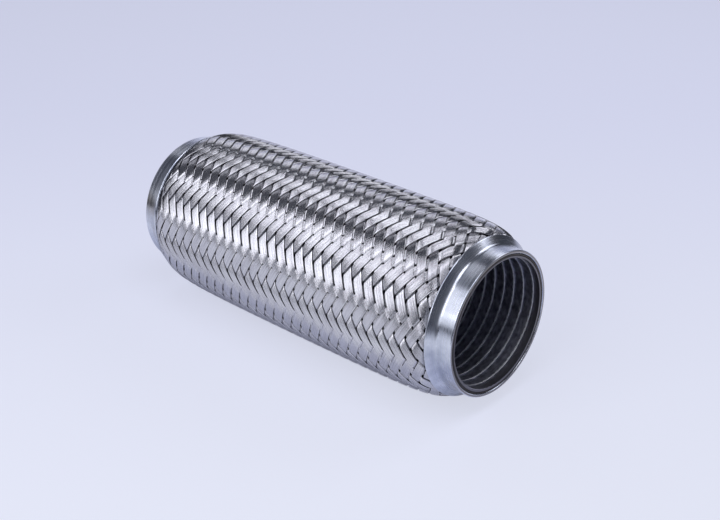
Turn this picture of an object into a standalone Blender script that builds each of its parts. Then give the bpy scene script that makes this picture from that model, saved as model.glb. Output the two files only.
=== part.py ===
"""Exhaust flex pipe, standing on its lower end cap, with +Z along its bore.

From outside in: two flared end caps, a braid of flat wire bundles, a gas tight
bellows, and a liner wound from one interlocking strip. Units are metres.
"""

import bisect
import math

import bmesh
import bpy
from mathutils import Vector
from mathutils.geometry import interpolate_bezier, tessellate_polygon

# Whole pipe
PIPE_LENGTH = 0.200

# Clearances
SEAT_GAP = 0.0003
RIM_RECESS = 0.0003
CREST_GAP = 0.0004
ROOT_GAP = 0.0004

# End caps: spun from tube, with a straight band and a flared lip over the braid
CAP_BORE = 0.065
CAP_WALL = 0.0015
CAP_BAND = 0.0082
RIM_ROUND = 0.0004
FLARE_BEND = 0.0008
FLARE_ANGLE = math.radians(52)
LIP_RISE = 0.0038
LIP_WALL = 0.0012

# Outer braid: flat bundles of wire that lean both ways, each over two and under two
BRAID_BULGE = 0.0045
BRAID_BED = 0.001
BRAID_RIDGE = 0.0006
FLOAT_ROWS = 12
BUNDLE_PITCH = 0.00594
SHOULDER_RISE = 0.006
SHOULDER_RUN = 0.0076
GAP_REACH = 0.0017
GAP_ROWS = 4
BEND_ROWS = 5
LEAST_PLAIN_END = 0.0012
CURVE_STEPS = 240

# Bellows: one thin corrugated tube with a plain cuff at each end
BELLOWS_WALL = 0.0005
WAVE_PITCH = 0.0111
CUFF_PAST_LIP = 0.0053

# Interlocked liner: one strip, wound to the right
LINER_WALL = 0.0005
STRIP_PITCH = 0.0054
STRIP_START = 0.0009
STRIP_STEP = 0.0007
STEP_RUN = 0.0003

# Facets
TUBE_SIDES = 16
CAP_SIDES = 2 * TUBE_SIDES
CREASE_ANGLE = math.radians(28)
SEAM_CREASE = math.radians(16)

# Steels: linear colour and roughness
CAP_STEEL = (0.55, 0.57, 0.62), 0.3
BRAID_STEEL = (0.6, 0.6, 0.64), 0.28
BELLOWS_STEEL = (0.5, 0.49, 0.47), 0.35
LINER_STEEL = (0.22, 0.22, 0.25), 0.4

# Worked out from the sizes above
MIDDLE = PIPE_LENGTH / 2
RIM_HEIGHT = PIPE_LENGTH - RIM_RECESS
CAP_INNER = CAP_BORE / 2
CAP_OUTER = CAP_INNER + CAP_WALL
FLARE_SLOPE = math.tan(FLARE_ANGLE)
LIP_HEIGHT = CAP_BAND + LIP_RISE / FLARE_SLOPE
LIP_RADIUS = CAP_OUTER + LIP_RISE
CUFF_OUTER = CAP_INNER - SEAT_GAP
CUFF_INNER = CUFF_OUTER - BELLOWS_WALL
CUFF_END = LIP_HEIGHT + CUFF_PAST_LIP
LINER_OUTER = CUFF_INNER - SEAT_GAP
LINER_HOLLOW = LINER_OUTER - LINER_WALL
LINER_CREST = LINER_HOLLOW - STRIP_STEP
BRAID_RADIUS = LIP_RADIUS + BRAID_BULGE
BRAID_WALL = BRAID_BED + BRAID_RIDGE
BUNDLES = 2 * FLOAT_ROWS
COLUMNS = 2 * BUNDLES
COLUMN_ANGLE = 2 * math.pi / COLUMNS
COLUMN_WIDTH = BRAID_RADIUS * COLUMN_ANGLE
ROW_PITCH = BUNDLE_PITCH / 2
GAP_SHARE = GAP_REACH / math.hypot(COLUMN_WIDTH, ROW_PITCH)


def clear_scene():
    for obj in list(bpy.data.objects):
        bpy.data.objects.remove(obj, do_unlink=True)


def metal(name, colour, roughness):
    material = bpy.data.materials.new(name)
    material.use_nodes = True
    shader = material.node_tree.nodes["Principled BSDF"]
    shader.inputs["Base Color"].default_value = (*colour, 1)
    shader.inputs["Metallic"].default_value = 1
    shader.inputs["Roughness"].default_value = roughness
    material.diffuse_color = (*colour, 1)
    return material


def add_object(name, mesh, material, crease=CREASE_ANGLE):
    """A smooth shaded object that keeps its hard edges."""
    mesh.materials.append(material)
    mesh.shade_smooth()
    mesh.set_sharp_from_angle(angle=crease)
    obj = bpy.data.objects.new(name, mesh)
    bpy.context.scene.collection.objects.link(obj)
    return obj


def add_turned(name, profile, sides, material):
    """A ring turned about Z. The closed profile of (radius, height) runs down its outer side."""
    mesh = bpy.data.meshes.new(name)
    count = len(profile)
    edges = [(i, (i + 1) % count) for i in range(count)]
    mesh.from_pydata([(radius, 0, height) for radius, height in profile], edges, [])
    obj = add_object(name, mesh, material)
    lathe = obj.modifiers.new("lathe", "SCREW")
    lathe.axis = "Z"
    lathe.steps = sides
    lathe.render_steps = sides
    lathe.use_merge_vertices = True
    lathe.merge_threshold = 0.00001
    lathe.use_smooth_shade = True


def ring_point(angle, radius, height):
    return (radius * math.cos(angle), radius * math.sin(angle), height)


# End caps


def cap_profile():
    """The lower cap's closed section, as (radius, height), down its outer side and up its inner side."""
    normal = Vector((-math.cos(FLARE_ANGLE), math.sin(FLARE_ANGLE)))
    lip_outer = Vector((LIP_RADIUS, LIP_HEIGHT))
    lip_inner = lip_outer + normal * LIP_WALL
    foot_height = lip_inner.y - (lip_inner.x - CAP_INNER) / FLARE_SLOPE
    return [
        tuple(lip_outer),
        (CAP_OUTER + FLARE_BEND * FLARE_SLOPE, CAP_BAND + FLARE_BEND),
        (CAP_OUTER, CAP_BAND - FLARE_BEND),
        (CAP_OUTER, RIM_ROUND),
        (CAP_OUTER - RIM_ROUND, 0),
        (CAP_INNER, 0),
        (CAP_INNER, foot_height),
        tuple(lip_inner),
    ]


def make_caps():
    steel = metal("cap_steel", *CAP_STEEL)
    lower = cap_profile()
    add_turned("lower_end_cap", lower, CAP_SIDES, steel)
    upper = [(radius, PIPE_LENGTH - height) for radius, height in reversed(lower)]
    add_turned("upper_end_cap", upper, CAP_SIDES, steel)


# Outer braid


def braid_curve():
    """The braid's upper half in section, from the middle to its tucked end: (radius, height) points and
    how far along the curve each lies."""
    along = Vector((math.sin(FLARE_ANGLE), 0, -math.cos(FLARE_ANGLE)))
    across = Vector((-math.cos(FLARE_ANGLE), 0, -math.sin(FLARE_ANGLE)))
    lip = Vector((LIP_RADIUS, 0, PIPE_LENGTH - LIP_HEIGHT))
    leave = lip + across * (LIP_WALL + SEAT_GAP)
    shoulder = leave + along * SHOULDER_RISE
    belly = Vector((BRAID_RADIUS, 0, leave.z - SHOULDER_RUN))
    middle = Vector((BRAID_RADIUS, 0, MIDDLE))
    end_inside = (CUFF_OUTER + SEAT_GAP) / math.cos(math.pi / BUNDLES)
    end_radius = end_inside + BRAID_WALL * math.cos(FLARE_ANGLE)
    tucked = leave - along * (leave.x - end_radius) / math.sin(FLARE_ANGLE)
    points = interpolate_bezier(middle, belly, shoulder, leave, CURVE_STEPS) + [tucked]
    lengths = [0.0]
    for before, after in zip(points, points[1:]):
        lengths.append(lengths[-1] + (after - before).length)
    return points, lengths


CURVE, LENGTHS = braid_curve()
HALF_ARC = LENGTHS[-1]
LIP_ARC = LENGTHS[-2]
LAST_ROW = int((HALF_ARC - LEAST_PLAIN_END) / ROW_PITCH)
LIP_ROW = int(LIP_ARC / ROW_PITCH)
FIRST_GAP_ROW = LIP_ROW - GAP_ROWS

# Rows where the smooth inside of the wall bends, from the middle to the end
INSIDE_ROWS = [0, FIRST_GAP_ROW - BEND_ROWS]
INSIDE_ROWS += [FIRST_GAP_ROW + i - 0.5 for i in range(0, GAP_ROWS + 1, 2)]
INSIDE_ROWS += [LIP_ARC / ROW_PITCH, HALF_ARC / ROW_PITCH]


def section_point(row, depth):
    """A point of the braid's section, as (radius, height). Depth goes inwards from the ridges' tops."""
    arc = min(abs(row) * ROW_PITCH, HALF_ARC)
    i = max(bisect.bisect_left(LENGTHS, arc), 1)
    step = CURVE[i] - CURVE[i - 1]
    spot = CURVE[i - 1] + step * ((arc - LENGTHS[i - 1]) / step.length)
    spot += Vector((-step.z, 0, step.x)).normalized() * depth
    return spot.x, spot.z if row >= 0 else PIPE_LENGTH - spot.z


def braid_point(column, row, depth):
    """Columns run round the braid, and rows along it from the middle."""
    return ring_point((column + 0.5) * COLUMN_ANGLE, *section_point(row, depth))


def has_gap(column, row):
    """Gaps open beside every second seam between the rows of bundles, near both ends."""
    near_end = FIRST_GAP_ROW <= abs(row) < LIP_ROW
    return near_end and column % 4 in (0, 3) and (column + row) % 2 == 1


def gap_corners(column, row):
    """The corners of the gap at this place, which lie on the three seams that meet there."""
    lean = 1 if column % 4 == 3 else -1
    steps = (lean, 1), (-lean, -1), (lean, -1)
    return [(column + c * GAP_SHARE, row + r * GAP_SHARE) for c, r in steps]


class BraidMesh:
    """Keeps one vertex for each place in the braid's lattice."""

    def __init__(self):
        self.bm = bmesh.new()
        self.known = {}

    def vert(self, column, row, depth):
        column %= COLUMNS
        key = (round(column, 4), round(row, 4), depth)
        if key not in self.known:
            self.known[key] = self.bm.verts.new(braid_point(column, row, depth))
        return self.known[key]

    def loop(self, outline):
        """The outline's vertices, with each corner that has a gap cut off by it."""
        verts = []
        for i, (column, row) in enumerate(outline):
            if not has_gap(column % COLUMNS, row):
                verts.append(self.vert(column, row, BRAID_RIDGE))
                continue
            for other in (outline[i - 1], outline[(i + 1) % len(outline)]):
                reach = [(b - a) * GAP_SHARE for a, b in zip((column, row), other)]
                verts.append(self.vert(column + reach[0], row + reach[1], BRAID_RIDGE))
        return verts


def add_float(braid, column, row, lean):
    """One bundle where it passes over two others: a parallelogram that rises to its middle."""
    outline = [(column - 1, row), (column, row - 1), (column + 1, row), (column + 2, row + 1)]
    outline += [(column + 1, row + 2), (column, row + 1)]
    if lean < 0:
        outline = [(2 * column + 1 - c, r) for c, r in reversed(outline)]
    loop = braid.loop(outline)
    crown = braid.vert(column + 0.5, row + 0.5, 0)
    for i, corner in enumerate(loop):
        braid.bm.faces.new([crown, corner, loop[(i + 1) % len(loop)]])


def add_outside(braid):
    """Rows of floats that lean right and left in turn, with flat cells where a float is cut short."""
    for column in range(COLUMNS):
        leans_right = column % 4 in (2, 3)
        leads = column % 2 == 0
        for row in range(-LAST_ROW + 1, LAST_ROW):
            if (column + row) % 2:
                continue
            partner = row + (1 if leans_right == leads else -1)
            if abs(partner) >= LAST_ROW:
                cell = [(column - 1, row), (column, row - 1), (column + 1, row), (column, row + 1)]
                braid.bm.faces.new(braid.loop(cell))
            elif leads and leans_right:
                add_float(braid, column, row, 1)
            elif leads:
                add_float(braid, column, row - 1, -1)


def add_inside(braid, side):
    """The smooth inner wall of one half, cut by the gaps."""
    rows = [side * row for row in INSIDE_ROWS]
    for left in range(0, COLUMNS, 2):
        for low, high in zip(rows, rows[1:]):
            outer = [(left - 0.5, low), (left + 1.5, low), (left + 1.5, high), (left - 0.5, high)]
            between = range(math.ceil(min(low, high)), math.floor(max(low, high)) + 1)
            spots = [(column, row) for column in (left, left + 1) for row in between]
            loops = [outer] + [gap_corners(*spot) for spot in spots if has_gap(*spot)]
            flat = [[Vector((c * COLUMN_WIDTH, r * ROW_PITCH, 0)) for c, r in loop] for loop in loops]
            corners = [corner for loop in loops for corner in loop]
            for triangle in tessellate_polygon(flat):
                braid.bm.faces.new([braid.vert(*corners[i], BRAID_WALL) for i in triangle])


def add_gap_walls(braid):
    for column in range(COLUMNS):
        for row in range(-LAST_ROW, LAST_ROW + 1):
            if not has_gap(column, row):
                continue
            corners = gap_corners(column, row)
            for here, there in zip(corners, corners[1:] + corners[:1]):
                outer = [braid.vert(*corner, BRAID_RIDGE) for corner in (here, there)]
                inner = [braid.vert(*corner, BRAID_WALL) for corner in (there, here)]
                braid.bm.faces.new(outer + inner)


def add_end(braid, side):
    """The plain end that is tucked under a cap's lip and seats against it."""
    end = side * INSIDE_ROWS[-1]
    for left in range(0, COLUMNS, 2):
        sides = (left - 0.5, left + 1.5)
        inner = [braid.vert(column, end, BRAID_WALL) for column in sides]
        outer = [braid.vert(column, end, 0) for column in sides]
        edge = []
        for column in (left, left + 1, left + 2):
            last = LAST_ROW if (column + LAST_ROW) % 2 else LAST_ROW - 1
            edge.append(braid.vert(column, side * last, BRAID_RIDGE))
        braid.bm.faces.new([inner[0], inner[1], outer[1], outer[0]])
        braid.bm.faces.new([outer[0], outer[1], edge[1], edge[0]])
        braid.bm.faces.new([outer[1], edge[2], edge[1]])


def make_braid():
    braid = BraidMesh()
    add_outside(braid)
    add_gap_walls(braid)
    for side in (-1, 1):
        add_inside(braid, side)
        add_end(braid, side)
    bmesh.ops.recalc_face_normals(braid.bm, faces=braid.bm.faces)
    mesh = bpy.data.meshes.new("outer_braid")
    braid.bm.to_mesh(mesh)
    braid.bm.free()
    add_object("outer_braid", mesh, metal("braid_steel", *BRAID_STEEL), SEAM_CREASE)


# Bellows


def braid_inside(height):
    """How far from the axis the inside of the braid is at a height of the upper half, mid facet."""
    rings = [section_point(row, BRAID_WALL) for row in INSIDE_ROWS]
    for (radius, low), (next_radius, high) in zip(rings, rings[1:]):
        if height <= high:
            break
    share = (height - low) / (high - low)
    return (radius + (next_radius - radius) * share) * math.cos(math.pi / BUNDLES)


def make_bellows():
    """A wave of crests and roots between two cuffs, the same wall all along."""
    waves = round((PIPE_LENGTH - 2 * CUFF_END) / WAVE_PITCH)
    half_wave = (PIPE_LENGTH - 2 * CUFF_END) / waves / 2
    crest = braid_inside(PIPE_LENGTH - CUFF_END - half_wave) - CREST_GAP
    depth = crest - LINER_OUTER - ROOT_GAP
    # Leaves a wall of BELLOWS_WALL square to the flanks within that depth
    ratio = (BELLOWS_WALL / half_wave) ** 2
    rise = (depth - math.sqrt(ratio * depth**2 + (1 - ratio) * BELLOWS_WALL**2)) / (1 - ratio)
    outer = [(CUFF_OUTER, RIM_HEIGHT)]
    for i in range(2 * waves + 1):
        radius = crest if i % 2 else crest - rise
        outer.append((radius, PIPE_LENGTH - CUFF_END - i * half_wave))
    outer[1] = (CUFF_OUTER, PIPE_LENGTH - CUFF_END)
    outer[-1] = (CUFF_OUTER, CUFF_END)
    outer.append((CUFF_OUTER, RIM_RECESS))
    inner = []
    for radius, height in reversed(outer):
        wall = BELLOWS_WALL if radius == CUFF_OUTER else depth - rise
        inner.append((radius - wall, height))
    add_turned("bellows", outer + inner, TUBE_SIDES, metal("bellows_steel", *BELLOWS_STEEL))


# Interlocked liner


def make_liner():
    """A wound strip: its bore steps in by one fold at a seam that climbs to the right."""
    sides = TUBE_SIDES
    turns = int((RIM_HEIGHT - STRIP_START - STEP_RUN) / STRIP_PITCH)
    steps = turns * sides
    last_turn = steps - sides
    bm = bmesh.new()

    def add_vert(step, radius, height):
        return bm.verts.new(ring_point(math.pi + step * 2 * math.pi / sides, radius, height))

    def add_ring(radius, height):
        return [add_vert(step, radius, height) for step in range(sides)]

    # The step at the seam closes to a point at both ends of the strip
    mid_step = (LINER_HOLLOW + LINER_CREST) / 2
    strip_end = STRIP_START + turns * STRIP_PITCH
    below = [add_vert(0, mid_step, STRIP_START)]
    above = below[:]
    for step in range(1, steps):
        height = STRIP_START + step * STRIP_PITCH / sides
        below.append(add_vert(step, LINER_HOLLOW, height))
        above.append(add_vert(step, LINER_CREST, height + STEP_RUN))
    below.append(add_vert(steps, mid_step, strip_end))
    above.append(below[-1])

    faces = []
    for i in range(steps):
        faces.append([below[i], below[i + 1], above[i + 1], above[i]])
    for i in range(last_turn):
        faces.append([above[i], above[i + 1], below[i + 1 + sides], below[i + sides]])
    foot = add_ring(LINER_HOLLOW, RIM_RECESS)
    head = add_ring(LINER_CREST, RIM_HEIGHT)
    outer_foot = add_ring(LINER_OUTER, RIM_RECESS)
    outer_head = add_ring(LINER_OUTER, RIM_HEIGHT)
    for i in range(sides):
        after = (i + 1) % sides
        start = [below[0]] if after == 0 else []
        end = [above[-1]] if i == 0 else []
        top = last_turn + i
        faces.append([foot[i], foot[after], *start, below[i + 1], below[i]])
        faces.append([above[top], above[top + 1], head[after], head[i], *end])
        faces.append([outer_foot[i], outer_foot[after], outer_head[after], outer_head[i]])
        faces.append([foot[i], foot[after], outer_foot[after], outer_foot[i]])
        faces.append([head[i], head[after], outer_head[after], outer_head[i]])
    for face in faces:
        bm.faces.new(list(dict.fromkeys(face)))
    bmesh.ops.recalc_face_normals(bm, faces=bm.faces)
    mesh = bpy.data.meshes.new("interlock_liner")
    bm.to_mesh(mesh)
    bm.free()
    add_object("interlock_liner", mesh, metal("liner_steel", *LINER_STEEL))


clear_scene()
make_caps()
make_braid()
make_bellows()
make_liner()
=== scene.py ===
"""Looks of the exhaust flex pipe: a braided steel sleeve over a bellows and a wound liner, between two
spun end caps. The pipe stands along +Z; the camera sees it lying on its side, as it was photographed.
Lengths are metres."""

import math

import bpy
from mathutils import Matrix, Vector
from mathutils.geometry import interpolate_bezier


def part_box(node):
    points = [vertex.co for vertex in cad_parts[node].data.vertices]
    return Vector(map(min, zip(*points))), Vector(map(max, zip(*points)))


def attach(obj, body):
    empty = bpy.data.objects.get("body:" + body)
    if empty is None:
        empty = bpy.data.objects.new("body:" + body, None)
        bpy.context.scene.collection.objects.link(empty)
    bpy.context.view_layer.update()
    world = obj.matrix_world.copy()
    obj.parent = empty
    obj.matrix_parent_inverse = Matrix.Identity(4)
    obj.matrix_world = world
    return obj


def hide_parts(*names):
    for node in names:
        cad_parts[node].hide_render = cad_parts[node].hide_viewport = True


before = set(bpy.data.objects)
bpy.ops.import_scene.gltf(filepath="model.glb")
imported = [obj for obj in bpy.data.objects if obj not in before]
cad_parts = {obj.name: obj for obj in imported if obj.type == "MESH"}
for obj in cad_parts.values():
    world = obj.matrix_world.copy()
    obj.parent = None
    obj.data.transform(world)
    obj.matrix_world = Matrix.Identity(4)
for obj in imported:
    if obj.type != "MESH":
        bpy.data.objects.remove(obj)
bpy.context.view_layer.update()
bpy.ops.object.select_all(action="DESELECT")


# Camera
# The pipe lies across the picture, its lower end cap nearest. The values are those of a camera that was
# fitted to the outlines of both rims: a long lens, a little over half a metre away, looking down.
PICTURE_WIDTH = 720
PICTURE_HEIGHT = 520
FOCAL_LENGTH_PX = 1264.6
PIPE_CENTRE_PX = (332.9, 255.6)
CAMERA_DISTANCE = 0.611
CAMERA_TILT = math.radians(26.63)
PIPE_TURN = math.radians(42.47)
SENSOR_WIDTH_MM = 36

pipe_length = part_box("upper_end_cap")[1].z
pipe_middle = Vector((0, 0, pipe_length / 2))
overhead = Vector((0, -1, 0))
ahead = Vector((math.cos(PIPE_TURN), 0, math.sin(PIPE_TURN)))
rightwards = Vector((math.sin(PIPE_TURN), 0, -math.cos(PIPE_TURN)))
camera_back = overhead * math.sin(CAMERA_TILT) - ahead * math.cos(CAMERA_TILT)
camera_up = overhead * math.cos(CAMERA_TILT) + ahead * math.sin(CAMERA_TILT)
off_right = (PIPE_CENTRE_PX[0] - PICTURE_WIDTH / 2) / FOCAL_LENGTH_PX
off_up = (PICTURE_HEIGHT / 2 - PIPE_CENTRE_PX[1]) / FOCAL_LENGTH_PX
sight = (rightwards * off_right + camera_up * off_up - camera_back).normalized()

camera_data = bpy.data.cameras.new("camera")
camera_data.sensor_width = SENSOR_WIDTH_MM
camera_data.lens = FOCAL_LENGTH_PX * SENSOR_WIDTH_MM / PICTURE_WIDTH
camera = bpy.data.objects.new("camera", camera_data)
bpy.context.collection.objects.link(camera)
turn = Matrix((rightwards, camera_up, camera_back)).transposed().to_4x4()
camera.matrix_world = Matrix.Translation(pipe_middle - sight * CAMERA_DISTANCE) @ turn
bpy.context.scene.camera = camera


# Table
# A wide pale card that the pipe lies on, against its side. It ends just below the picture and is swept
# up behind the pipe. It shows only from the pipe's own side, so that the pipe can be seen from behind.
TABLE_WIDTH = 0.9
TABLE_FRONT = 0.236
TABLE_DEPTH = 0.8
SWEEP_RADIUS = 0.35
SWEEP_STEPS = 12
SWEEP_RISE = 0.25
BRAID_RADIUS = 0.0423
TABLE_COLOUR = "#DDE1F6"
TABLE_NEAR_GLOW = "#F1F4FF"
TABLE_FAR_GLOW = "#DEE1F8"
GLOW_FADE_START = -0.21
GLOW_FADE_END = 0.43
GLOW_SEEN = 0.7
GLOW_IN_METAL = 0.95
GLOW_UNDER_PIPE = 0.2
SHADE_INNER = 0.038
SHADE_OUTER = 0.08


def linear(code):
    """An sRGB hex colour as linear RGBA."""
    values = [int(code[i:i + 2], 16) / 255 for i in (1, 3, 5)]
    return (*[v / 12.92 if v <= 0.04045 else ((v + 0.055) / 1.055) ** 2.4 for v in values], 1)


def add_node(material, kind, settings=None, **inputs):
    """Adds a node. Settings are its own properties; each input takes a value or another node's output,
    and is given by its name or, as i0, i1 and so on, by its number."""
    made = material.node_tree.nodes.new(kind)
    for name, value in (settings or {}).items():
        setattr(made, name, value)
    for name, value in inputs.items():
        socket = made.inputs[int(name[1:])] if name[1:].isdigit() else made.inputs[name.replace("_", " ")]
        if isinstance(value, bpy.types.NodeSocket):
            material.node_tree.links.new(value, socket)
        else:
            socket.default_value = value
    return made


def new_material(name):
    material = bpy.data.materials.new(name)
    material.use_nodes = True
    material.node_tree.nodes.clear()
    return material


# Matt card in even light. A glow that the camera and the steel see keeps it pale and smooth, a little
# greyer far away; the matt share that is left shows the pipe's shadow. In the steel, the part of it
# under the pipe's belly has painted shade: there the glow that the steel sees is turned down by place.
card = new_material("pale_card")
place = add_node(card, "ShaderNodeTexCoord").outputs["Object"]
away = add_node(card, "ShaderNodeVectorMath", {"operation": "DOT_PRODUCT"}, i0=place, i1=tuple(ahead))
fade = add_node(card, "ShaderNodeMapRange", {"interpolation_type": "SMOOTHSTEP"},
                Value=away.outputs["Value"], From_Min=GLOW_FADE_START, From_Max=GLOW_FADE_END)
tone = add_node(card, "ShaderNodeMix", {"data_type": "RGBA"}, Factor=fade.outputs[0],
                i6=linear(TABLE_NEAR_GLOW), i7=linear(TABLE_FAR_GLOW))
matt = add_node(card, "ShaderNodeBsdfDiffuse", Color=linear(TABLE_COLOUR))
glow = add_node(card, "ShaderNodeEmission", Color=tone.outputs[2], Strength=1.0)
ray = add_node(card, "ShaderNodeLightPath").outputs
in_metal = add_node(card, "ShaderNodeMath", {"operation": "MAXIMUM"}, i0=ray["Is Glossy Ray"],
                    i1=ray["Is Transmission Ray"])
# Painted shade: the glow that the steel sees is turned down near the line under the pipe's belly.
beside = add_node(card, "ShaderNodeSeparateXYZ", Vector=place).outputs["X"]
beside = add_node(card, "ShaderNodeMath", {"operation": "ABSOLUTE"}, i0=beside)
shade = add_node(card, "ShaderNodeMapRange", {"interpolation_type": "SMOOTHSTEP"},
                 Value=beside.outputs[0], From_Min=SHADE_INNER, From_Max=SHADE_OUTER,
                 To_Min=GLOW_UNDER_PIPE, To_Max=GLOW_IN_METAL)
mirrored = add_node(card, "ShaderNodeMath", {"operation": "MULTIPLY"}, i0=in_metal.outputs[0],
                    i1=shade.outputs[0])
share = add_node(card, "ShaderNodeMath", {"operation": "MULTIPLY_ADD"}, i0=ray["Is Camera Ray"],
                 i1=GLOW_SEEN, i2=mirrored.outputs[0])
lit = add_node(card, "ShaderNodeMixShader", i0=share.outputs[0], i1=matt.outputs[0], i2=glow.outputs[0])
clear = add_node(card, "ShaderNodeBsdfTransparent")
side = add_node(card, "ShaderNodeNewGeometry").outputs["Backfacing"]
shown = add_node(card, "ShaderNodeMixShader", i0=side, i1=lit.outputs[0], i2=clear.outputs[0])
add_node(card, "ShaderNodeOutputMaterial", Surface=shown.outputs[0])

bpy.ops.mesh.primitive_plane_add(size=1, location=(0, (TABLE_DEPTH - TABLE_FRONT) / 2, 0))
table = bpy.context.object
table.name = "table_card"
table.scale = (TABLE_WIDTH, TABLE_DEPTH + TABLE_FRONT, 1)
bpy.ops.object.transform_apply()
bpy.ops.object.mode_set(mode="EDIT")
bpy.ops.mesh.select_all(action="DESELECT")
bpy.ops.object.mode_set(mode="OBJECT")
for edge in table.data.edges:
    edge.select = all(table.data.vertices[i].co.y > 0 for i in edge.vertices)
bpy.ops.object.mode_set(mode="EDIT")
bpy.ops.mesh.spin(steps=SWEEP_STEPS, angle=-math.pi / 2, center=(0, TABLE_DEPTH, SWEEP_RADIUS),
                  axis=(1, 0, 0))
bpy.ops.mesh.extrude_region_move(TRANSFORM_OT_translate={"value": (0, 0, SWEEP_RISE)})
bpy.ops.object.mode_set(mode="OBJECT")
laid = Matrix((rightwards, ahead, overhead)).transposed().to_4x4()
table.data.transform(Matrix.Translation(pipe_middle - overhead * BRAID_RADIUS) @ laid)
table.data.shade_smooth()
table.data.materials.append(card)


# Lamps
# A dim room with plain softboxes: a tall one beside the camera and square to the pipe, a low wide one
# below it, one overhead, and weaker ones past the lower mouth, past the upper end and behind the pipe.
# The steel shows them, and the dark gaps between them. The camera sees the card's pale grey beyond it.
LAMP_DISTANCE = 0.9
LAMP_COLOUR = "#F6F7FF"
ROOM_COLOUR = "#B4B9CC"
ROOM_STRENGTH = 0.15


def add_softbox(name, azimuth, elevation, width, height, brightness):
    """A softbox turned towards the pipe's middle. Azimuth starts square to the pipe on the camera's side
    and grows towards its lower end; width and height are how much of the view it fills, in degrees;
    brightness is its face's, where 1 is white."""
    azimuth, elevation = math.radians(azimuth), math.radians(elevation)
    level = Vector((-math.cos(azimuth), 0, -math.sin(azimuth)))
    outwards = level * math.cos(elevation) + overhead * math.sin(elevation)
    sideways = overhead.cross(outwards).normalized()
    data = bpy.data.lights.new(name, "AREA")
    data.shape = "RECTANGLE"
    data.size = 2 * LAMP_DISTANCE * math.tan(math.radians(width / 2))
    data.size_y = 2 * LAMP_DISTANCE * math.tan(math.radians(height / 2))
    data.energy = brightness * math.pi * data.size * data.size_y
    data.color = linear(LAMP_COLOUR)[:3]
    lamp = bpy.data.objects.new(name, data)
    bpy.context.collection.objects.link(lamp)
    turn = Matrix((sideways, outwards.cross(sideways), outwards)).transposed().to_4x4()
    lamp.matrix_world = Matrix.Translation(pipe_middle + outwards * LAMP_DISTANCE) @ turn
    lamp.visible_camera = False


add_softbox("key_softbox", -1, 39, 40, 44, 2.5)
add_softbox("fill_softbox", -5, 12, 76, 18, 1.1)
add_softbox("top_softbox", 58, 68, 32, 26, 3.5)
add_softbox("mouth_softbox", 152, 40, 26, 26, 2.6)
add_softbox("far_softbox", -104, 53, 20, 18, 1.25)
add_softbox("back_softbox", -152, 35, 27, 14, 1.5)

room = bpy.data.worlds.new("room")
room.use_nodes = True
room.node_tree.nodes.clear()
dim = add_node(room, "ShaderNodeBackground", Color=linear(ROOM_COLOUR), Strength=ROOM_STRENGTH)
pale = add_node(room, "ShaderNodeBackground", Color=linear(TABLE_FAR_GLOW), Strength=1.0)
seen = add_node(room, "ShaderNodeLightPath").outputs["Is Camera Ray"]
air = add_node(room, "ShaderNodeMixShader", i0=seen, i1=dim.outputs[0], i2=pale.outputs[0])
add_node(room, "ShaderNodeOutputWorld", Surface=air.outputs[0])
bpy.context.scene.world = room
bpy.context.scene.view_settings.view_transform = "Standard"


# End caps
# Each is spun from a length of 68 mm steel tube: a straight band that is welded to the exhaust, a neck,
# and a lip flared over the end of the braid. The rim and the lip's edge are rounded.
CAP_RINGS = 144
CAP_WALL = 0.0015
LIP_WALL = 0.0012
LIP_REACH = 0.0038
CAP_BAND = 0.0082
FLARE_ANGLE = math.radians(52)
RIM_ROUND = 0.00055
FLARE_BEND = 0.0024
LIP_ROUND = 0.0005
BEND_STEPS = 8
CAP_COLOUR = "#DADEE8"
CAP_SHADE = "#A6ACBC"
CAP_SMEAR = "#8F8470"
CUT_FACE = "#8E8A8A"
SPUN_ROUGHNESS = (0.2, 0.34)

lip_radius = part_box("lower_end_cap")[1].x
cap_outer = lip_radius - LIP_REACH
cap_inner = cap_outer - CAP_WALL
lip_height = CAP_BAND + LIP_REACH / math.tan(FLARE_ANGLE)
lip_inner_radius = lip_radius - LIP_WALL * math.cos(FLARE_ANGLE)
lip_inner_height = lip_height + LIP_WALL * math.sin(FLARE_ANGLE)
neck_height = lip_inner_height - (lip_inner_radius - cap_inner) / math.tan(FLARE_ANGLE)
cap_corners = [
    ((cap_inner, neck_height), FLARE_BEND + CAP_WALL),
    ((cap_inner, 0), RIM_ROUND),
    ((cap_outer, 0), RIM_ROUND),
    ((cap_outer, CAP_BAND), FLARE_BEND),
    ((lip_radius, lip_height), LIP_ROUND),
    ((lip_inner_radius, lip_inner_height), LIP_ROUND),
]


def round_corner(before, corner, after, radius):
    """The points of an arc that rounds a corner between two straight runs."""
    before, corner, after = Vector(before), Vector(corner), Vector(after)
    back, onwards = (before - corner).normalized(), (after - corner).normalized()
    half_angle = back.angle(onwards) / 2
    centre = corner + (back + onwards).normalized() * (radius / math.sin(half_angle))
    first = back * (radius / math.tan(half_angle)) + corner - centre
    last = onwards * (radius / math.tan(half_angle)) + corner - centre
    spokes = [first.lerp(last, step / BEND_STEPS).normalized() for step in range(BEND_STEPS + 1)]
    return [tuple(centre + spoke * radius) for spoke in spokes]


cap_section = []
for i, (corner, radius) in enumerate(cap_corners):
    before, after = cap_corners[i - 1][0], cap_corners[(i + 1) % len(cap_corners)][0]
    cap_section += round_corner(before, corner, after, radius)


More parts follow.
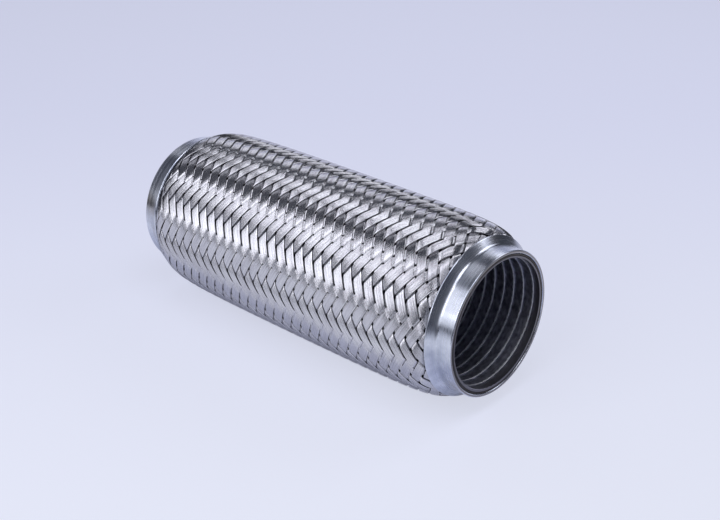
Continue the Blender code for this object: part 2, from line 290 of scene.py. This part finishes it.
def draw_rings(section, rings):
    """A wall drawn ring by ring through the section's (radius, height) points, and closed on itself."""
    radius, height = section[0]
    bpy.ops.mesh.primitive_circle_add(vertices=rings, radius=radius, location=(0, 0, height))
    piece = bpy.context.object
    bpy.ops.object.transform_apply()
    bpy.ops.object.mode_set(mode="EDIT")
    for next_radius, next_height in section[1:]:
        bpy.ops.mesh.extrude_region_move(TRANSFORM_OT_translate={"value": (0, 0, next_height - height)})
        share = next_radius / radius
        bpy.ops.transform.resize(value=(share, share, 1), center_override=(0, 0, next_height))
        radius, height = next_radius, next_height
    bpy.ops.mesh.select_all(action="SELECT")
    bpy.ops.mesh.region_to_loop()
    bpy.ops.mesh.bridge_edge_loops()
    bpy.ops.mesh.select_all(action="SELECT")
    bpy.ops.mesh.normals_make_consistent(inside=False)
    bpy.ops.object.mode_set(mode="OBJECT")
    return piece


def off_middle(material, place):
    """How far a place is from the pipe's middle, measured along the pipe."""
    height = add_node(material, "ShaderNodeSeparateXYZ", Vector=place).outputs["Z"]
    above = add_node(material, "ShaderNodeMath", {"operation": "SUBTRACT"}, i0=height, i1=pipe_middle.z)
    return add_node(material, "ShaderNodeMath", {"operation": "ABSOLUTE"}, i0=above.outputs[0]).outputs[0]


def finish_piece(piece, name, material, slot, *nodes):
    """Names a finished piece and its mesh, gives it its material, and ties it to the frame."""
    piece.name = name
    piece.data.name = name
    piece.data.materials.clear()
    piece.data.materials.append(material)
    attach(piece, "root")
    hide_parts(*nodes)


# Stainless steel spun over a former and left satin. Fine rings from the tool run round it, about 1 mm
# apart here, as the real 0.2 mm wouldn't show. They stretch highlights along the pipe. Stains of 2 cm
# dull it in soft patches, a few of them brownish, and the cut end face is darker.
spun = new_material("spun_satin_steel")
place = add_node(spun, "ShaderNodeTexCoord").outputs["Object"]
turning = add_node(spun, "ShaderNodeMapping", Vector=place, Scale=(12, 12, 900))
rings = add_node(spun, "ShaderNodeTexNoise", Vector=turning.outputs[0], Scale=1.0, Detail=3.0)
stains = add_node(spun, "ShaderNodeTexNoise", Vector=place, Scale=55.0, Detail=4.0, Roughness=0.6)
fade = add_node(spun, "ShaderNodeMapRange", Value=stains.outputs[0], From_Min=0.4, From_Max=0.68)
tone = add_node(spun, "ShaderNodeMix", {"data_type": "RGBA"}, Factor=fade.outputs[0],
                i6=linear(CAP_COLOUR), i7=linear(CAP_SHADE))
smears = add_node(spun, "ShaderNodeTexNoise", Vector=place, Scale=38.0, Detail=2.0)
warm = add_node(spun, "ShaderNodeMapRange", Value=smears.outputs[0], From_Min=0.55, From_Max=0.75,
                To_Max=0.6)
tone = add_node(spun, "ShaderNodeMix", {"data_type": "RGBA"}, Factor=warm.outputs[0],
                i6=tone.outputs[2], i7=linear(CAP_SMEAR))
cut = add_node(spun, "ShaderNodeMapRange", Value=off_middle(spun, place),
               From_Min=pipe_middle.z - 0.00006, From_Max=pipe_middle.z - 0.00001)
tone = add_node(spun, "ShaderNodeMix", {"data_type": "RGBA"}, Factor=cut.outputs[0],
                i6=tone.outputs[2], i7=linear(CUT_FACE))
streaked = add_node(spun, "ShaderNodeMapRange", Value=rings.outputs[0], From_Min=0.3, From_Max=0.7,
                    To_Min=SPUN_ROUGHNESS[0], To_Max=SPUN_ROUGHNESS[1])
grain = add_node(spun, "ShaderNodeBump", Height=rings.outputs[0], Strength=0.1, Distance=0.0002)
lathe = add_node(spun, "ShaderNodeTangent", {"direction_type": "RADIAL", "axis": "Z"})
steel = add_node(spun, "ShaderNodeBsdfPrincipled", Metallic=1.0, Base_Color=tone.outputs[2],
                 Roughness=streaked.outputs[0], Anisotropic=0.75, Anisotropic_Rotation=0.25,
                 Normal=grain.outputs[0], Tangent=lathe.outputs[0])
add_node(spun, "ShaderNodeOutputMaterial", Surface=steel.outputs[0])

lower_cap = draw_rings(cap_section, CAP_RINGS)
lower_cap.data.shade_smooth()
upper_cap = lower_cap.copy()
upper_cap.data = lower_cap.data.copy()
bpy.context.collection.objects.link(upper_cap)
to_middle = Matrix.Translation(pipe_middle)
upper_cap.data.transform(to_middle @ Matrix.Rotation(math.pi, 4, "X") @ to_middle.inverted())
finish_piece(lower_cap, "spun_lower_cap", spun, "cap_steel", "lower_end_cap")
finish_piece(upper_cap, "spun_upper_cap", spun, "cap_steel", "upper_end_cap")


# Bellows
# A thin stainless tube rolled into round waves, gas tight, with a plain cuff inside each cap. Only the
# cuffs' edges show at the rims, and a little of the waves through the braid's gaps, darkened by painted
# shade.
BELLOWS_RINGS = 96
WAVES = 15
STEPS_PER_WAVE = 8
CUFF_END = 0.0165
CUFF_TAPER = 0.001
CUFF_OUTER = 0.0322
CUFF_WALL = 0.0005
WAVE_CREST = 0.0383
WAVE_ROOT = 0.0331
RIM_RECESS = 0.0003
WAVE_SHARP = math.radians(50)
SHEET_COLOUR = "#57514E"
SHEET_STAIN = "#3B3736"
SHEET_PAINTED_SHADE = "#26242A"

cuff_top = pipe_length - RIM_RECESS
bellows_section = [(CUFF_OUTER, RIM_RECESS), (CUFF_OUTER, CUFF_END - CUFF_TAPER)]
wave_length = (pipe_length - 2 * CUFF_END) / WAVES
for step in range(WAVES * STEPS_PER_WAVE + 1):
    swing = (1 - math.cos(2 * math.pi * step / STEPS_PER_WAVE)) / 2
    radius = WAVE_ROOT + (WAVE_CREST - WAVE_ROOT) * swing
    bellows_section.append((radius, CUFF_END + step * wave_length / STEPS_PER_WAVE))
bellows_section += [(CUFF_OUTER, pipe_length - CUFF_END + CUFF_TAPER), (CUFF_OUTER, cuff_top)]
bellows_section += [(radius - CUFF_WALL, height) for radius, height in reversed(bellows_section)]

# Rolled stainless sheet, browned a little by the welder's heat in cloudy stains of about 8 mm. Away from
# the cuffs, under the braid, it is painted dark as shade, so that the braid's gaps look deep.
sheet = new_material("rolled_stainless_sheet")
place = add_node(sheet, "ShaderNodeTexCoord").outputs["Object"]
stain = add_node(sheet, "ShaderNodeTexNoise", Vector=place, Scale=120.0, Detail=3.0)
tone = add_node(sheet, "ShaderNodeMix", {"data_type": "RGBA"}, Factor=stain.outputs[0],
                i6=linear(SHEET_COLOUR), i7=linear(SHEET_STAIN))
# Painted shade: away from the cuffs the sheet turns dark, as shade under the braid.
painted_shade_under_braid = add_node(sheet, "ShaderNodeMapRange", Value=off_middle(sheet, place),
                   From_Min=pipe_middle.z - 0.003, From_Max=pipe_middle.z - 0.006)
tone = add_node(sheet, "ShaderNodeMix", {"data_type": "RGBA"}, Factor=painted_shade_under_braid.outputs[0],
                i6=tone.outputs[2], i7=linear(SHEET_PAINTED_SHADE))
steel = add_node(sheet, "ShaderNodeBsdfPrincipled", Metallic=1.0, Roughness=0.35,
                 Base_Color=tone.outputs[2])
add_node(sheet, "ShaderNodeOutputMaterial", Surface=steel.outputs[0])

bellows = draw_rings(bellows_section, BELLOWS_RINGS)
bellows.data.shade_smooth()
bellows.data.set_sharp_from_angle(angle=WAVE_SHARP)
finish_piece(bellows, "rolled_bellows", sheet, "bellows_steel", "bellows")


# Interlocked liner
# One steel strip wound to the right, its edges folded over and hooked into the turn before. The folds
# stand proud into the bore, with a rounded nose, and the rest of the strip lies half a millimetre back.
STRIP_PITCH = 0.0054
STRIP_START = 0.0009
STRIP_OUTER = 0.0314
STRIP_HOLLOW = 0.0309
STRIP_CREST = 0.0302
FOLD_ROUND = 0.00022
FOLD_POINTS = 5
FOLD_SHARP = math.radians(40)
STEPS_PER_TURN = 64
TURNS_BELOW = 2.5
SPARE_TURNS = 3
TURN_GAP = 0.00005
TRIMMER_SIZE = 1.1
STRIP_CLEAN = "#B9BAC6"
STRIP_SOOT = "#7A7C88"
STRIP_HEATED = "#77757A"
STRIP_NOSE_WEAR_AND_HIGHLIGHT = "#F2F3F6"


def select_only(piece):
    bpy.ops.object.select_all(action="DESELECT")
    piece.select_set(True)
    bpy.context.view_layer.objects.active = piece


def apply_modifier(piece, kind, **settings):
    select_only(piece)
    modifier = piece.modifiers.new(kind.lower(), kind)
    for name, value in settings.items():
        setattr(modifier, name, value)
    bpy.ops.object.modifier_apply(modifier=modifier.name)


turn_end = STRIP_PITCH - TURN_GAP
strip_section = [(STRIP_OUTER, 0), (STRIP_OUTER, turn_end), (STRIP_HOLLOW, turn_end)]
for step in range(FOLD_POINTS + 1):
    angle = math.pi / 2 * step / FOLD_POINTS
    nose = FOLD_ROUND * (1 - math.cos(angle))
    strip_section.append((STRIP_CREST + nose, FOLD_ROUND * (1 - math.sin(angle))))
turns = math.ceil(pipe_length / STRIP_PITCH) + SPARE_TURNS
strip_low = STRIP_START - TURNS_BELOW * STRIP_PITCH

count = len(strip_section)
strip_points = [(radius, 0, strip_low + height) for radius, height in strip_section]
strip_mesh = bpy.data.meshes.new("strip")
strip_mesh.from_pydata(strip_points, [(i, (i + 1) % count) for i in range(count)], [])
liner = bpy.data.objects.new("strip", strip_mesh)
bpy.context.collection.objects.link(liner)
apply_modifier(liner, "SCREW", axis="Z", screw_offset=STRIP_PITCH, iterations=turns, steps=STEPS_PER_TURN,
               render_steps=STEPS_PER_TURN, use_merge_vertices=False)
bpy.ops.object.mode_set(mode="EDIT")
bpy.ops.mesh.select_all(action="SELECT")
bpy.ops.mesh.fill_holes(sides=0)
bpy.ops.mesh.select_all(action="SELECT")
bpy.ops.mesh.normals_make_consistent(inside=False)
bpy.ops.object.mode_set(mode="OBJECT")
bpy.ops.mesh.primitive_cylinder_add(vertices=STEPS_PER_TURN, radius=STRIP_OUTER * TRIMMER_SIZE,
                                    depth=pipe_length - 2 * RIM_RECESS, location=pipe_middle)
trimmer = bpy.context.object
apply_modifier(liner, "BOOLEAN", operation="INTERSECT", solver="MANIFOLD", object=trimmer)
bpy.data.objects.remove(trimmer)
liner.data.shade_smooth()
liner.data.set_sharp_from_angle(angle=FOLD_SHARP)

# Stainless strip, cold rolled and dull, so that the bore stays dark. Soot lies on it in specks of 2 to
# 3 mm. The last few millimetres are greyed by heat. The noses of the folds are painted bright, partly as
# rubbed wear and partly as a painted highlight, which makes the thin light seams.
strip = new_material("wound_strip_steel")
place = add_node(strip, "ShaderNodeTexCoord").outputs["Object"]
smear = add_node(strip, "ShaderNodeMapping", Vector=place, Scale=(300, 300, 500))
dirt = add_node(strip, "ShaderNodeTexNoise", Vector=smear.outputs[0], Scale=1.0, Detail=4.0)
soot = add_node(strip, "ShaderNodeMapRange", Value=dirt.outputs[0], From_Min=0.3, From_Max=0.66)
tone = add_node(strip, "ShaderNodeMix", {"data_type": "RGBA"}, Factor=soot.outputs[0],
                i6=linear(STRIP_CLEAN), i7=linear(STRIP_SOOT))
heated = add_node(strip, "ShaderNodeMapRange", Value=off_middle(strip, place),
                  From_Min=pipe_middle.z - 0.007, From_Max=pipe_middle.z - 0.001)
tone = add_node(strip, "ShaderNodeMix", {"data_type": "RGBA"}, Factor=heated.outputs[0],
                i6=tone.outputs[2], i7=linear(STRIP_HEATED))
level = add_node(strip, "ShaderNodeVectorMath", {"operation": "MULTIPLY"}, i0=place, i1=(1, 1, 0))
reach = add_node(strip, "ShaderNodeVectorMath", {"operation": "LENGTH"}, i0=level.outputs[0])
# Painted highlight, with rubbed wear: the noses of the folds, nearest the axis, turn bright.
edge = add_node(strip, "ShaderNodeMapRange", Value=reach.outputs["Value"],
                From_Min=STRIP_CREST + 0.00002, From_Max=STRIP_CREST + 0.00008, To_Min=1.0, To_Max=0.0)
nose_wear_and_highlight = add_node(strip, "ShaderNodeMix", {"data_type": "RGBA"}, Factor=edge.outputs[0],
                  i6=tone.outputs[2], i7=linear(STRIP_NOSE_WEAR_AND_HIGHLIGHT))
steel = add_node(strip, "ShaderNodeBsdfPrincipled", Metallic=1.0, Base_Color=nose_wear_and_highlight.outputs[2],
                 Roughness=0.46)
add_node(strip, "ShaderNodeOutputMaterial", Surface=steel.outputs[0])
finish_piece(liner, "wound_liner", strip, "liner_steel", "interlock_liner")


# Outer braid
# 24 flat bundles lean each way, every one over two and under two, of nine drawn stainless wires laid
# side by side. They run down over the bellows' ends and are clamped under the lips of the caps.
BUNDLES = 24
COLUMNS = 2 * BUNDLES
COLUMN_ANGLE = 2 * math.pi / COLUMNS
ROW_PITCH = 0.00297
WIRES = 9
WIRE_THICKNESS = 0.00055
VALLEY_DEPTH = 0.00018
LAYER_DROP = 0.00095
CROWN_DROP = 0.00005
# Widths and places on a bundle are in columns, each as wide as half the space between two bundles.
HALF_WIDTH = 0.41
CORNER_PINCH = 0.02
CORNER_REACH = 0.3
END_PINCH = 0.02
END_SHARPNESS = 6
DIVE = 0.18
BOW = 0.27
CROSSING_STEPS = (-1.2, -1.08, -1.0, -0.92, -0.8, -0.4, 0, 0.4, 0.8, 0.92, 1.0, 1.08, 1.2, 2.0)
CLOSEST_STEP = 0.05
SHOULDER_RISE = 0.006
SHOULDER_RUN = 0.0076
SEAT_GAP = 0.0003
TUCK_REACH = 0.0028
TUCK_RUN = 0.02
CURVE_STEPS = 240
STREAK_SHIFT = 13.7
WIRE_COLOUR = "#D2D2D6"
WIRE_SHADE = "#BAB9BF"
DRAWN_ROUGHNESS = (0.16, 0.21)

along = Vector((math.sin(FLARE_ANGLE), 0, -math.cos(FLARE_ANGLE)))
across = Vector((-math.cos(FLARE_ANGLE), 0, -math.sin(FLARE_ANGLE)))
lip = Vector((lip_radius, 0, pipe_length - lip_height))
leave = lip + across * (LIP_WALL + SEAT_GAP)
belly = Vector((BRAID_RADIUS, 0, leave.z - SHOULDER_RUN))
middle = Vector((BRAID_RADIUS, 0, pipe_length / 2))
braid_curve = interpolate_bezier(middle, belly, leave + along * SHOULDER_RISE, leave, CURVE_STEPS)
braid_curve.append(leave - along * TUCK_RUN)
curve_steps = [b - a for a, b in zip(braid_curve, braid_curve[1:])]
curve_lengths = [0.0]
for step in curve_steps:
    curve_lengths.append(curve_lengths[-1] + step.length)
tucked_rows = (curve_lengths[-2] + TUCK_REACH) / ROW_PITCH


def braid_spot(column, row, depth):
    """A place on the braid. Columns run round it and rows along it from the middle."""
    arc = abs(row) * ROW_PITCH
    i = 0
    while i < CURVE_STEPS - 1 and curve_lengths[i + 1] < arc:
        i += 1
    step = curve_steps[i]
    spot = braid_curve[i] + step * ((arc - curve_lengths[i]) / step.length)
    spot = spot + Vector((-step.z, 0, step.x)).normalized() * depth
    height = spot.z if row >= 0 else pipe_length - spot.z
    angle = (column + 0.5) * COLUMN_ANGLE
    return (spot.x * math.cos(angle), spot.x * math.sin(angle), height)


def drop_at(place, over_middle):
    """How deep a bundle lies at a place along itself: it dives under the next two and bows between."""
    off = abs((place - over_middle + 2) % 4 - 2)
    share = min(max((off - 1 + DIVE) / (2 * DIVE), 0), 1)
    dive = (1 - math.cos(math.pi * share)) / 2
    bow = (1 - math.cos(math.pi * off / 2)) / 2
    return LAYER_DROP * (dive + (bow - dive) * BOW)


def add_bundle(name, leans_right, number):
    """One bundle, lying in the lattice: it crosses one column for each row. Its section is a ring of
    points over the wires' crowns and the valleys between them, and back along a flat underside."""
    lean = 1 if leans_right else -1
    over_middle = 2.5 if leans_right else 0.5
    start = 2 * number
    crossings = int(tucked_rows) + 4
    stations = [start - tucked_rows, start + tucked_rows]
    for crossing in range(-crossings, crossings + 1):
        for offset in CROSSING_STEPS:
            place = over_middle + 4 * crossing + offset
            if abs(place - start) < tucked_rows - CLOSEST_STEP:
                stations.append(place)
    stations.sort()
    ring = 2 * WIRES + 3
    verts, wraps = [], []
    for place in stations:
        row = lean * (place - start)
        corner = abs((place - over_middle) % 2 - 1)
        half = HALF_WIDTH - CORNER_PINCH * math.exp(-(corner / CORNER_REACH) ** 2)
        half -= END_PINCH * (abs(row) / tucked_rows) ** END_SHARPNESS
        drop = drop_at(place, over_middle)
        for j in range(2 * WIRES + 1):
            w = half * (j / WIRES - 1)
            valley = VALLEY_DEPTH if j % 2 == 0 else 0.0
            if j in (0, 2 * WIRES):
                valley = WIRE_THICKNESS / 2
            depth = drop + valley + CROWN_DROP * (w / half) ** 2
            verts.append(braid_spot(place - w * lean, row + w, depth))
            wraps.append((j / 2, place))
        for w in (half, -half):
            verts.append(braid_spot(place - w * lean, row + w, drop + WIRE_THICKNESS))
            wraps.append((0, place))
    faces = [tuple(range(ring)), tuple(range(len(verts) - ring, len(verts)))]
    for s in range(len(stations) - 1):
        for j in range(ring):
            a, b = s * ring + j, s * ring + (j + 1) % ring
            faces.append((a, b, b + ring, a + ring))
    mesh = bpy.data.meshes.new(name)
    mesh.from_pydata(verts, [], faces)
    mesh.shade_smooth()
    for edge in mesh.edges:
        a, b = [i % ring for i in edge.vertices]
        if a == b and (a % 2 == 0 or a > 2 * WIRES):
            edge.use_edge_sharp = True
    layer = mesh.uv_layers.new(name="wires")
    for loop in mesh.loops:
        layer.data[loop.index].uv = wraps[loop.vertex_index]
    bundle = bpy.data.objects.new(name, mesh)
    bpy.context.collection.objects.link(bundle)
    select_only(bundle)
    bpy.ops.object.mode_set(mode="EDIT")
    bpy.ops.mesh.select_all(action="SELECT")
    bpy.ops.mesh.normals_make_consistent(inside=False)
    bpy.ops.object.mode_set(mode="OBJECT")
    return bundle


# Bright stainless wire, drawn through a die, so it is smooth and streaked along its length. The streaks
# follow each bundle: two to a wire across, as finer ones wouldn't show, and three crossings long, which
# tells neighbouring wires apart. Faint clouds of 2 cm dull it here and there, as handling does.
wire = new_material("drawn_stainless_wire")
wraps = add_node(wire, "ShaderNodeUVMap", {"uv_map": "wires"}).outputs[0]
place = add_node(wire, "ShaderNodeTexCoord").outputs["Object"]
streak = add_node(wire, "ShaderNodeMapping", Vector=wraps, Scale=(1.9, 0.3, 1))
streaks = add_node(wire, "ShaderNodeTexNoise", {"noise_dimensions": "2D"}, Vector=streak.outputs[0],
                   Scale=1.0, Detail=2.0)
clouds = add_node(wire, "ShaderNodeTexNoise", Vector=place, Scale=60.0, Detail=2.0)
mixed = add_node(wire, "ShaderNodeMath", {"operation": "MULTIPLY_ADD"}, i0=clouds.outputs[0], i1=0.4,
                 i2=streaks.outputs[0])
fade = add_node(wire, "ShaderNodeMapRange", Value=mixed.outputs[0], From_Min=0.5, From_Max=0.9)
tone = add_node(wire, "ShaderNodeMix", {"data_type": "RGBA"}, Factor=fade.outputs[0],
                i6=linear(WIRE_COLOUR), i7=linear(WIRE_SHADE))
rough = add_node(wire, "ShaderNodeMapRange", Value=fade.outputs[0], To_Min=DRAWN_ROUGHNESS[0],
                 To_Max=DRAWN_ROUGHNESS[1])
steel = add_node(wire, "ShaderNodeBsdfPrincipled", Metallic=1.0, Base_Color=tone.outputs[2],
                 Roughness=rough.outputs[0])
add_node(wire, "ShaderNodeOutputMaterial", Surface=steel.outputs[0])

# Two neighbouring bundles of each lean are drawn, and each is copied round the pipe. Every copy has its
# streaks elsewhere in the pattern, so that no two bundles are alike.
copies_round = BUNDLES // 2
for leans_right in (True, False):
    for number in (0, 1):
        name = f"{'right' if leans_right else 'left'}_bundles_{number + 1}"
        first = add_bundle(name, leans_right, number)
        copies = [first]
        for i in range(1, copies_round):
            copy = first.copy()
            copy.data = first.data.copy()
            copy.data.transform(Matrix.Rotation(2 * math.pi * i / copies_round, 4, "Z"))
            for spot in copy.data.uv_layers["wires"].data:
                spot.uv.x += i * STREAK_SHIFT
            bpy.context.collection.objects.link(copy)
            copies.append(copy)
        select_only(first)
        for copy in copies:
            copy.select_set(True)
        bpy.ops.object.join()
        finish_piece(first, name, wire, "braid_steel", "outer_braid")
